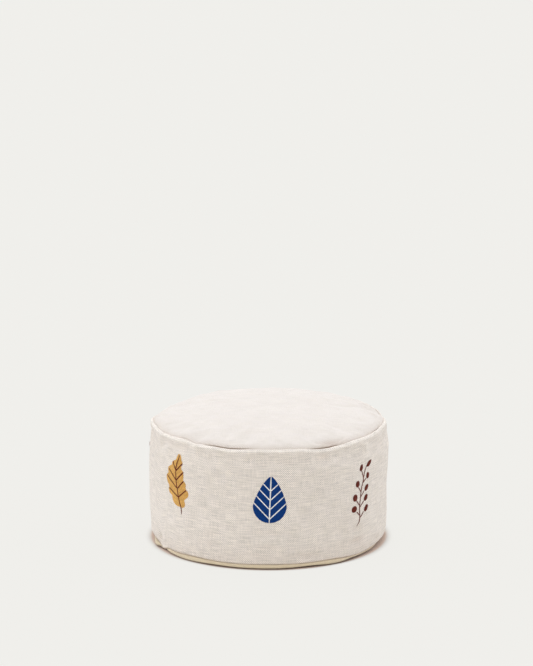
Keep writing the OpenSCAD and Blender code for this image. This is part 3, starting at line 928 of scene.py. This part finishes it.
def hatch(stitches, outline, angle, holes):
    """Fills an outline with rows of stitches at that angle, clear of the holes."""
    k, s = math.cos(math.radians(angle)), math.sin(math.radians(angle))
    spin = np.array([[k, -s], [s, k]])
    outline = np.asarray(outline) @ spin
    holes = [np.asarray(h) @ spin for h in holes]
    for n, y in enumerate(np.arange(outline[:, 1].min() + ROW_PITCH / 2, outline[:, 1].max(), ROW_PITCH)):
        spans = crossings(outline, y).reshape(-1, 2).tolist()
        for hole in holes:
            cut = crossings(hole, y)
            if len(cut) < 2:
                continue
            left = [(x0, min(x1, cut[0])) for x0, x1 in spans if x0 < cut[0]]
            right = [(max(x0, cut[1]), x1) for x0, x1 in spans if x1 > cut[1]]
            spans = left + right
        for x0, x1 in spans:
            marks = np.arange(math.floor(x0 / RUN) * RUN + (n % 3) * RUN / 3, x1, RUN)
            ends = [x0, *[m for m in marks if x0 + 0.9 < m < x1 - 0.9], x1]
            for p, q in zip(ends, ends[1:]):
                if q - p > 0.5:
                    stitches.add(spin @ (p - 0.15, y), spin @ (q + 0.15, y), THREAD_W, 0.34)
            if n % 3 == 1 and x1 - x0 > 1.5:
                stitches.add(spin @ (x0 + 0.5, y), spin @ (x1 - 0.5, y), 1.9, 0.04, 0.08)


def spaced(path):
    """Points along a path for satin stitches, the path's directions there and the parts of it passed."""
    path = np.asarray(path, float)
    steps = np.linalg.norm(np.diff(path, axis=0), axis=1)
    marks = np.concatenate([[0], np.cumsum(steps)])
    s = np.arange(0, marks[-1], SATIN_PITCH)
    points = np.stack([np.interp(s, marks, path[:, i]) for i in (0, 1)], -1)
    ahead = np.gradient(points, axis=0)
    return points, ahead / np.linalg.norm(ahead, axis=1)[:, None], s / marks[-1]


def satin(stitches, path, width, arch=0.5, base=0.25, slant=25):
    """Covers a path with close stitches across it, narrower at its ends."""
    c, s = math.cos(math.radians(90 - slant)), math.sin(math.radians(90 - slant))
    for p, d, t in zip(*spaced(path)):
        across = np.array([c * d[0] - s * d[1], s * d[0] + c * d[1]])
        half = width / 2 * min(1.0, 0.45 + 6 * min(t, 1 - t))
        stitches.add(p - across * half, p + across * half, THREAD_W, arch, base)


def strip(a, b, width):
    """The four corners of a straight strip."""
    a, b = np.asarray(a, float), np.asarray(b, float)
    d = (b - a) / np.linalg.norm(b - a)
    n = np.array([-d[1], d[0]]) * width / 2
    return np.array([a - n - d, b - n + d, b + n + d, a + n - d])


def rounded(points):
    """A closed outline with its corners cut, so that its lobes are round."""
    points = np.asarray(points, float)
    after = np.roll(points, -1, 0)
    return np.stack([points * 0.75 + after * 0.25, points * 0.25 + after * 0.75], 1).reshape(-1, 2)


def sew(stitches, place, name, slot, material, node, steps=4):
    """Finishes the stitches of a motif as the piece for one node."""
    piece(stitches.make(name, place, steps), COVER, slot, material, node)


LEAF_FOOT, LEAF_L, LEAF_R, LEAF_LEAN = 91, 88.5, 31, 2.3
LEAF_LEFT = 1.6             # how far the leaf's foot stands to the left of its place
LEAF_JOINTS = [7, 25, 42.5, 60]
VEIN_W = 2.1


def leaf_frame(points):
    """Moves points of an upright leaf with its foot at the origin to their place on the band."""
    points = np.asarray(points, float)
    k, s = math.cos(math.radians(LEAF_LEAN)), math.sin(math.radians(LEAF_LEAN))
    x, y = points[..., 0], points[..., 1]
    return np.stack([x * k + y * s - LEAF_LEFT, y * k - x * s + LEAF_FOOT], -1)


def leaf_side(side):
    """Half of the blue leaf's outline, from its foot to its tip and back down the midrib."""
    foot = [(LEAF_R * math.sin(a), LEAF_R - LEAF_R * math.cos(a)) for a in np.linspace(0, math.pi / 2, 16)]
    s = np.linspace(0.06, 0.97, 20)
    edge = [(LEAF_R * (1 - t**1.3) ** 0.73, LEAF_R + t * (LEAF_L - LEAF_R)) for t in s]
    return np.array([*foot, *edge, (0, LEAF_L)]) * [side, 1]


def blue_leaf(number, place):
    fill, veins = Stitches(100 + number), Stitches(110 + number)
    for side in (-1, 1):
        branches = [((0, j), (side * 33, j + 33)) for j in LEAF_JOINTS]
        cuts = [leaf_frame(strip(a, b, VEIN_W)) for a, b in branches]
        cuts.append(leaf_frame(strip((0, -4), (0, LEAF_L + 4), VEIN_W)))
        hatch(fill, leaf_frame(leaf_side(side)), side * 45 - LEAF_LEAN, cuts)
        for j in LEAF_JOINTS:
            reach = vein_reach(j)
            satin(veins, leaf_frame([(side * 0.8, j + 0.8), (side * reach, j + reach)]), VEIN_W)
    satin(veins, leaf_frame([(0, 0.5), (0, LEAF_L - 3)]), VEIN_W + 0.3, arch=0.6, base=0.35)
    name = f"blue_leaf_{number}"
    sew(fill, place, name + "_fill_stitches", "blue_thread", BLUE, name + "_fill")
    sew(veins, place, name + "_vein_stitches", "white_thread", WHITE, name + "_veins")


def vein_reach(joint):
    """How far a vein at 45 degrees from that height on the midrib goes before the leaf's edge."""
    outline = np.concatenate([leaf_side(1), [[0, 0]]])
    steps = [x for x in np.linspace(2, LEAF_R, 200) if joint + x < LEAF_L - 1]
    inside = [x for x in steps if x < crossings(outline, joint + x)[-1]]
    return float(inside[-1]) - 0.4


OAK_TIP, OAK_FOOT = (5.5, 200.5), (11, 101)
OAK_RIGHT = [(9, 197.5), (11, 190), (15, 186.5), (13, 178), (12, 173.5), (17.5, 170), (18.5, 160),
             (17, 153.5),
             (22.5, 150), (25, 145), (23, 140), (27.5, 136), (31, 130), (29.5, 124), (24, 119.5),
             (19.5, 116.5),
             (20.5, 113), (22.5, 108), (20, 102.5), (14, 100.5)]
OAK_LEFT = [(1.5, 199.5), (-2, 193), (-2.5, 189), (-6.5, 186.5), (-11, 186), (-13.5, 181.5), (-14, 177),
            (-17, 175.5), (-22, 173), (-27, 170), (-27.5, 164.5), (-26.5, 158), (-32, 156), (-35, 150),
            (-33.5, 142),
            (-29, 137), (-26, 135.5), (-27, 132), (-29, 128), (-27.5, 122), (-23, 119), (-17, 117.5),
            (-15.5, 112),
            (-11.5, 106), (-5, 102.5), (2, 101)]
OAK_MIDRIB = [(5.5, 198), (1.5, 184.5), (-2.2, 171), (-2.4, 160), (-2, 150), (-0.4, 140), (1.6, 131.5),
              (4.3, 119),
              (7.6, 110), (11, 102.5), (12.6, 95), (13, 88)]
OAK_VEINS = {
    -1: [((-10.5, 184.5), (-3, 169.5)), ((-24.2, 168.5), (-2, 149.5)), ((-32, 154), (1.2, 134.5)),
         ((-26.5, 130.5), (4.5, 118.5))],
    1: [((15.5, 184.5), (-2.5, 167.5)), ((18.2, 169), (-2, 149.5)), ((18.8, 152), (1.5, 134.5)),
        ((25.3, 136), (4, 118.5))],
}
OAK_VEIN_W = 2.9


def oak_leaf(number, place):
    fill, veins = Stitches(200 + number), Stitches(210 + number)
    rib = [p for p in OAK_MIDRIB if OAK_FOOT[1] < p[1] < OAK_TIP[1]]
    rib_cuts = [strip(a, b, OAK_VEIN_W - 0.8) for a, b in zip(OAK_MIDRIB, OAK_MIDRIB[1:])]
    for side, edge in ((-1, OAK_LEFT), (1, OAK_RIGHT)):
        outline = [OAK_TIP, *edge, OAK_FOOT, *rib[::-1]]
        cuts = [strip(a, b, OAK_VEIN_W - 0.4) for a, b in OAK_VEINS[side]]
        hatch(fill, rounded(outline), side * 40, cuts + rib_cuts)
        for a, b in OAK_VEINS[side]:
            satin(veins, [a, b], OAK_VEIN_W)
    satin(veins, OAK_MIDRIB, OAK_VEIN_W - 0.2, arch=0.6, base=0.35)
    name = f"oak_leaf_{number}"
    sew(fill, place, name + "_fill_stitches", "mustard_thread", MUSTARD, name + "_fill")
    sew(veins, place, name + "_vein_stitches", "brown_thread", BROWN, name + "_veins")


SPRIG_STEM = [(-11.5, 63.2), (-7.5, 69.2), (-5.5, 78.2), (-5.5, 88.2), (-5.2, 98.2), (-3.5, 105.2),
              (-2.5, 113.2), (-1.5, 120.2), (0, 128.2), (1, 135.2), (4, 142.2), (5.5, 148.2), (6, 153.2),
              (8, 160.2), (11, 167.2), (16, 173.2)]
SPRIG_BRANCHES = [
    [(-6.5, 83.2), (-9, 86.2), (-13.5, 90.7)], [(-5, 78.7), (0, 82.2), (6, 87.2)],
    [(-5, 97.2), (1, 101.7), (9, 107.2)], [(-5, 101.7), (-9, 106.2), (-13.5, 112.2)],
    [(-2, 116.7), (3, 120.7), (9.5, 126.2)], [(0, 125.7), (-4, 130.7), (-8.5, 136.7)],
    [(5, 143.2), (9, 146.2), (14.5, 149.7)], [(5.5, 152.7), (2.5, 160.2), (-0.5, 167.2)],
]
# Each berry: centre, half its length and half its width, and the turn of its length from the band's direction
BERRIES = [((24.5, 175.8), 8.6, 4.6, 29), ((-1.5, 173), 6.5, 4.8, 62), ((19.5, 154), 6.0, 4.8, 90),
           ((-11, 143.4), 6.2, 5.6, 98), ((16.5, 131.2), 6.9, 4.9, 45), ((15.3, 112.2), 7.0, 5.0, 46),
           ((-17.3, 118.2), 6.8, 6.3, 95),
           ((-20.2, 97.3), 7.2, 6.0, 10), ((14.6, 92.6), 7.6, 4.7, 42)]


def berry_sprig(number, place):
    stem, berries = Stitches(300 + number), Stitches(310 + number)
    satin(stem, SPRIG_STEM, 2.9, slant=45)
    for branch in SPRIG_BRANCHES:
        satin(stem, branch, 2.5, slant=45)
    for (cx, cy), half_l, half_w, angle in BERRIES:
        k, s = math.cos(math.radians(angle)), math.sin(math.radians(angle))
        for x in np.arange(-half_l + 0.2, half_l, SATIN_PITCH):
            y = half_w * math.sqrt(max(0.0, 1 - (x / half_l) ** 2))
            ends = [(cx + k * x - s * t, cy + s * x + k * t) for t in (-y, y)]
            berries.add(*ends, THREAD_W, arch=0.4 + 0.5 * y / half_w, base=0.15)
    name = f"berry_sprig_{number}"
    sew(stem, place, name + "_stem_stitches", "berry_thread", BERRY, name + "_stem")
    sew(berries, place, name + "_berry_stitches", "berry_thread", BERRY, name + "_berries", 6)


for number, place in ((1, 0), (2, 3), (3, -3)):
    blue_leaf(number, place)
for number, place in ((1, -1), (2, 2)):
    oak_leaf(number, place)
for number, place in ((1, 1), (2, -2)):
    berry_sprig(number, place)

# ---- Inside the cover: these follow its shape, a little smaller ----


def ring_solid(azimuths, loop, wrap):
    """Points and faces of that closed outline of (radius, height), swept round over the azimuths."""
    points = np.stack([at(azimuths, r, z) for r, z in loop])
    rows, cols = points.shape[:2]
    faces = (grid_faces(rows + 1, cols, wrap) % (rows * cols)).tolist()
    if not wrap:
        faces += [[j * cols for j in range(rows)], [j * cols + cols - 1 for j in range(rows)][::-1]]
    return points.reshape(-1, 3), faces


def ring_piece(name, azimuths, loop, wrap, slot, material, node):
    return piece(new_object(name, *ring_solid(azimuths, loop, wrap)), COVER, slot, material, node)


def inner_band(azimuths, depth, low, high, count):
    """Points up the band's inside at that depth, as (radius, height) pairs."""
    pairs = []
    for v in np.linspace(0, 1, count):
        z = low + v * (high - low)
        pairs.append((band_radius(azimuths, z) - depth, z + 0 * azimuths))
    return pairs


def inner_crown(azimuths, depth, inset, count):
    """Points over the top panel's inside, from its edge to its centre."""
    edge, outer = seam_r(azimuths), (BAND_R - inset) / BAND_R
    return [(edge * f, crown_z(azimuths, edge * f) - depth) for f in np.linspace(outer, 0.002, count)]


ROUND = np.arange(180) * 2.0
SEAM_INSET = 20             # how far inside the edge the liner's top and the filling's top end
LINER_IN, LINER_T = 6.5, 0.8


def liner_walls():
    """The liner's side, top and base, each as an outline with a thickness."""
    low, high = 6.0, seam_z(ROUND) - 15
    out, inn = (inner_band(ROUND, depth, low, high, 24) for depth in (LINER_IN, LINER_IN + LINER_T))
    top = inner_crown(ROUND, 7.0, SEAM_INSET, 26)
    under = [(r, z - LINER_T) for r, z in top]
    edge = out[0][0] - 8
    base = [(edge * f, 0 * edge + 4.0) for f in np.linspace(1, 0.002, 12)]
    over = [(r, z + LINER_T) for r, z in base]
    return {"liner_side": out + inn[::-1], "liner_top": top + under[::-1], "liner_base": base[::-1] + over}


for node, loop in liner_walls().items():
    ring_piece(node + "_cloth", ROUND, loop, True, "liner_cloth", LINER, node)

fill_side = inner_band(ROUND, 9.0, 8.0, seam_z(ROUND) - 17, 20)
fill_top = inner_crown(ROUND, 9.5, SEAM_INSET + 3, 24)
fill_low = [((fill_side[0][0] - 7) * f, 0 * ROUND + 5.6) for f in np.linspace(0.002, 1, 12)]
fill_loop = fill_low + fill_side + fill_top
filling = ring_piece("filling_beads", ROUND, fill_loop, True, "bead_foam", BEADS, "bead_filling")

patches = []
for place in range(-3, 4):
    span = MOTIF_SHIFT + place * MOTIF_PITCH + np.linspace(-10, 10, 16)
    loop = inner_band(span, 2.2, 60, 202, 24) + inner_band(span, 2.6, 60, 202, 24)[::-1]
    patches.append(ring_solid(span, loop, False))
backing = new_object("embroidery_backing_cloth", *joined(patches))
piece(backing, COVER, "stabiliser", STABILISER, "embroidery_backing")


def tape_loop(outer, thick, start, end):
    """The outline of a tape whose outer face is at that radius, from one height to another."""
    return [(outer, start), (outer, end), (outer - thick, end), (outer - thick, start)]


seam_tape = tape_loop(seam_r(ROUND) - 3.4, 2.2, seam_z(ROUND) - 8, seam_z(ROUND) - 18)
ring_piece("top_seam_binding_tape", ROUND, seam_tape, True, "binding", BINDING, "top_seam_binding")
front = np.linspace(-(180 - ZIP_HALF) + 1, 180 - ZIP_HALF - 1, 120)
hem = hem_z(front)
hem_tape = tape_loop(band_radius(front, hem) - 7.5, 2, hem + 3, hem + 12)
ring_piece("base_seam_binding_tape", front, hem_tape, False, "binding", BINDING, "base_seam_binding")
behind = 180 + np.array([-0.35, -0.2, 0.2, 0.35])
up_back = inner_band(behind, 2.2, 26, 212, 40) + inner_band(behind, 8.0, 26, 212, 40)[::-1]
ring_piece("back_seam_binding_tape", behind, up_back, False, "binding", BINDING, "back_seam_binding")

# ---- Care label: blank, its top caught in the closing seam at the back ----

LABEL_LOW, LABEL_H = 26, 32
label_span = 180.15 + np.linspace(0, 5.4, 24)
label_out = []
for v in np.linspace(0, 1, 14):
    z = LABEL_LOW + LABEL_H * v
    curl = 0.9 + 1.6 * np.linspace(0, 1, 24) ** 2 * (1 - 0.5 * v)
    curl += 0.3 * np.sin(np.linspace(0, 5, 24) + 4 * v)
    label_out.append((band_radius(label_span, z) + curl, z + 0 * label_span))
label_loop = label_out + [(r - 0.25, z) for r, z in label_out[::-1]]
ring_piece("care_label_satin", label_span, label_loop, False, "label", LABEL, "care_label")

# ---- Zip ----

CHAIN_FROM, CHAIN_TO = 111.0, 252.4
COIL_PITCH = 1.25


def coil(side):
    """A row of the zip's coil above (1) or below (-1) the middle of the chain."""
    length = math.radians(CHAIN_TO - CHAIN_FROM) * CHAIN_R
    turns = int(length / COIL_PITCH)
    t = np.linspace(0, turns, turns * 10)
    azimuth = CHAIN_FROM + (CHAIN_TO - CHAIN_FROM) * (t + 0.25 * side) / turns
    a = 2 * math.pi * t
    squared = 1 / np.maximum(np.abs(np.cos(a)), np.abs(np.sin(a))) ** 0.6
    up = ZIP_Z + side * (1.85 - 1.15 * np.cos(a) * squared)
    out = CHAIN_R + 0.05 + 0.72 * np.sin(a) * squared
    return tube(at(azimuth, out, up), 0.31, 6)


for side, node in ((1, "zip_coil_upper"), (-1, "zip_coil_lower")):
    piece(new_object(node + "_helix", *coil(side)), COVER, "zip_nylon", NYLON, node)


# Beyond its stops the zip's two tapes are joined, up to the ends of the opening
end_loop = tape_loop(CHAIN_R + 0.2, 0.5, ZIP_Z - CHAIN_W / 2, ZIP_Z + CHAIN_W / 2)
end_tabs = [ring_solid(np.linspace(a, b, 12), end_loop, False) for a, b in ((101.6, 109.7), (253.6, 258.3))]
piece(new_object("zip_tape_ends", *joined(end_tabs)), COVER, "zip_tape", TAPE)


def rounded_copy(node, body, slot, material, width):
    """A copy of a CAD node with its edges rounded, in place of the node."""
    mesh = frame["nodes"][node].data.copy()
    mesh.materials.clear()
    obj = bpy.data.objects.new(node + "_rounded", mesh)
    bpy.context.scene.collection.objects.link(obj)
    weld = obj.modifiers.new("Weld", "WELD")
    weld.merge_threshold = 1e-6
    bevel = obj.modifiers.new("Bevel", "BEVEL")
    bevel.width, bevel.segments, bevel.angle_limit = width * MM, 3, math.radians(35)
    final = bpy.data.meshes.new_from_object(obj.evaluated_get(bpy.context.evaluated_depsgraph_get()))
    obj.modifiers.clear()
    obj.data = final
    final.polygons.foreach_set("use_smooth", [True] * len(final.polygons))
    final.set_sharp_from_angle(angle=math.radians(40))
    piece(obj, body, slot, material, node)


for node, body, width in (("zip_slider", SLIDER, 0.25), ("zip_pull", PULL, 0.3),
                          ("zip_top_stops", COVER, 0.2), ("zip_bottom_stop", COVER, 0.2)):
    rounded_copy(node, body, "zip_metal", NICKEL, width)
for node in ("zip_tape_upper", "zip_tape_lower"):
    mesh = frame["nodes"][node].data
    mesh.materials.clear()
    mesh.materials.append(TAPE)


def make_zip_stitches():
    """A row of machine stitches along the band, above the zip."""
    azimuths = np.linspace(180 - ZIP_HALF - 3, 180 + ZIP_HALF + 3, 400)
    arc, z = np.radians(azimuths) * BAND_R, hem_z(azimuths) + 3.0
    run, gap = 3.2, 0.9
    stitches = Stitches(500)
    for x in np.arange(arc[0], arc[-1] - run, run + gap):
        stitches.add((x, np.interp(x, arc, z)), (x + run, np.interp(x + run, arc, z)), 0.6, 0.45, 0.05)
    piece(stitches.make("zip_stitches", -MOTIF_SHIFT / MOTIF_PITCH, 4), COVER, "side_canvas", SEWING)


make_zip_stitches()

# ---- Stage, light and camera ----

BACKDROP = srgb(240, 239, 235)
TOP_LIGHT = 1.17            # what the tent gives a level surface, where 1 is the backdrop's white


def make_floor():
    """A pale floor that glows where it is clear of the pouf, so that only the shadow close to the pouf shows.

    That shadow is wider at the sides than in front, and a painted warm tint in the floor's colour makes it
    brown where it is deep.
    """
    bpy.ops.mesh.primitive_plane_add(size=120)
    floor = bpy.context.object
    floor.name = "floor"
    look = Look("floor_paint", 0.9, Specular_IOR_Level=0.0)
    away = look.node("VectorMath", {0: look.place()}, out=1, operation="LENGTH")
    edge = (BAND_R - 6.0) * MM
    sideways = look.math("ABSOLUTE", look.math("DIVIDE", look.axes(look.place())[0], away))
    end = look.node("MapRange", {0: sideways, 1: 0.55, 2: 0.85, 3: edge + 0.009, 4: edge + 0.016})
    glow = look.node("MapRange", {0: away, 1: edge, 2: end, 3: 0.0, 4: 0.93}, interpolation_type="SMOOTHSTEP")
    near = look.math("SUBTRACT", 1.0, glow)
    matt = look.times(near, 1 / TOP_LIGHT)
    # Painted shade: green and blue are cut right by the pouf, painting a warm brown into the shadow.
    deep = look.math("POWER", near, 6.0)
    green, blue = (look.times(matt, look.scaled(deep, loss, 1.0)) for loss in (-0.2, -0.3))
    look.colour(look.shaded(BACKDROP, matt, green, blue))
    look.put("Emission Color", BACKDROP)
    look.put("Emission Strength", glow)
    floor.data.materials.append(look.material)


def make_light():
    """A light tent, brighter and cooler at the sides than in front, most of all at the left."""
    world = bpy.data.worlds.new("tent")
    bpy.context.scene.world = world
    world.use_nodes = True
    world.node_tree.nodes.clear()
    tent = Nodes(world.node_tree)
    across, behind, height = tent.axes(tent.node("TexCoord", out="Generated"))
    side = tent.times(across, across)
    up = tent.math("MAXIMUM", height, 0.0)
    corner = tent.times(across, behind)
    level = 0.855
    for value, factor in ((up, 0.24), (side, 0.66), (across, -0.07), (behind, 0.22), (corner, 0.5)):
        level = tent.scaled(value, factor, level)
    white = tent.mix(side, (1.0, 1.0, 1.0, 1), (0.965, 1.0, 1.07, 1))
    lit = tent.node("Background", {0: white, 1: level})
    seen = tent.node("Background", {0: BACKDROP, 1: 1.0})
    mixed = tent.node("MixShader", {0: tent.node("LightPath", out="Is Camera Ray"), 1: lit, 2: seen})
    tent.link(mixed, tent.tree.nodes.new("ShaderNodeOutputWorld").inputs[0])


def make_camera():
    """The camera stands 6 m off and a little above, with the pouf low in its frame."""
    distance, elevation, aim_up, middle = 6.0, 16.25, 2.57, 0.115
    data = bpy.data.cameras.new("camera")
    data.sensor_width, data.lens = 36, 172.0
    data.shift_x = -0.003393
    data.clip_end = 200
    camera = bpy.data.objects.new("camera", data)
    bpy.context.scene.collection.objects.link(camera)
    e = math.radians(elevation)
    camera.location = (0, -distance * math.cos(e), middle + distance * math.sin(e))
    camera.rotation_euler = (math.radians(90 - elevation + aim_up), 0, 0)
    bpy.context.scene.camera = camera


make_floor()
make_light()
make_camera()
bpy.context.scene.view_settings.view_transform = "Standard"
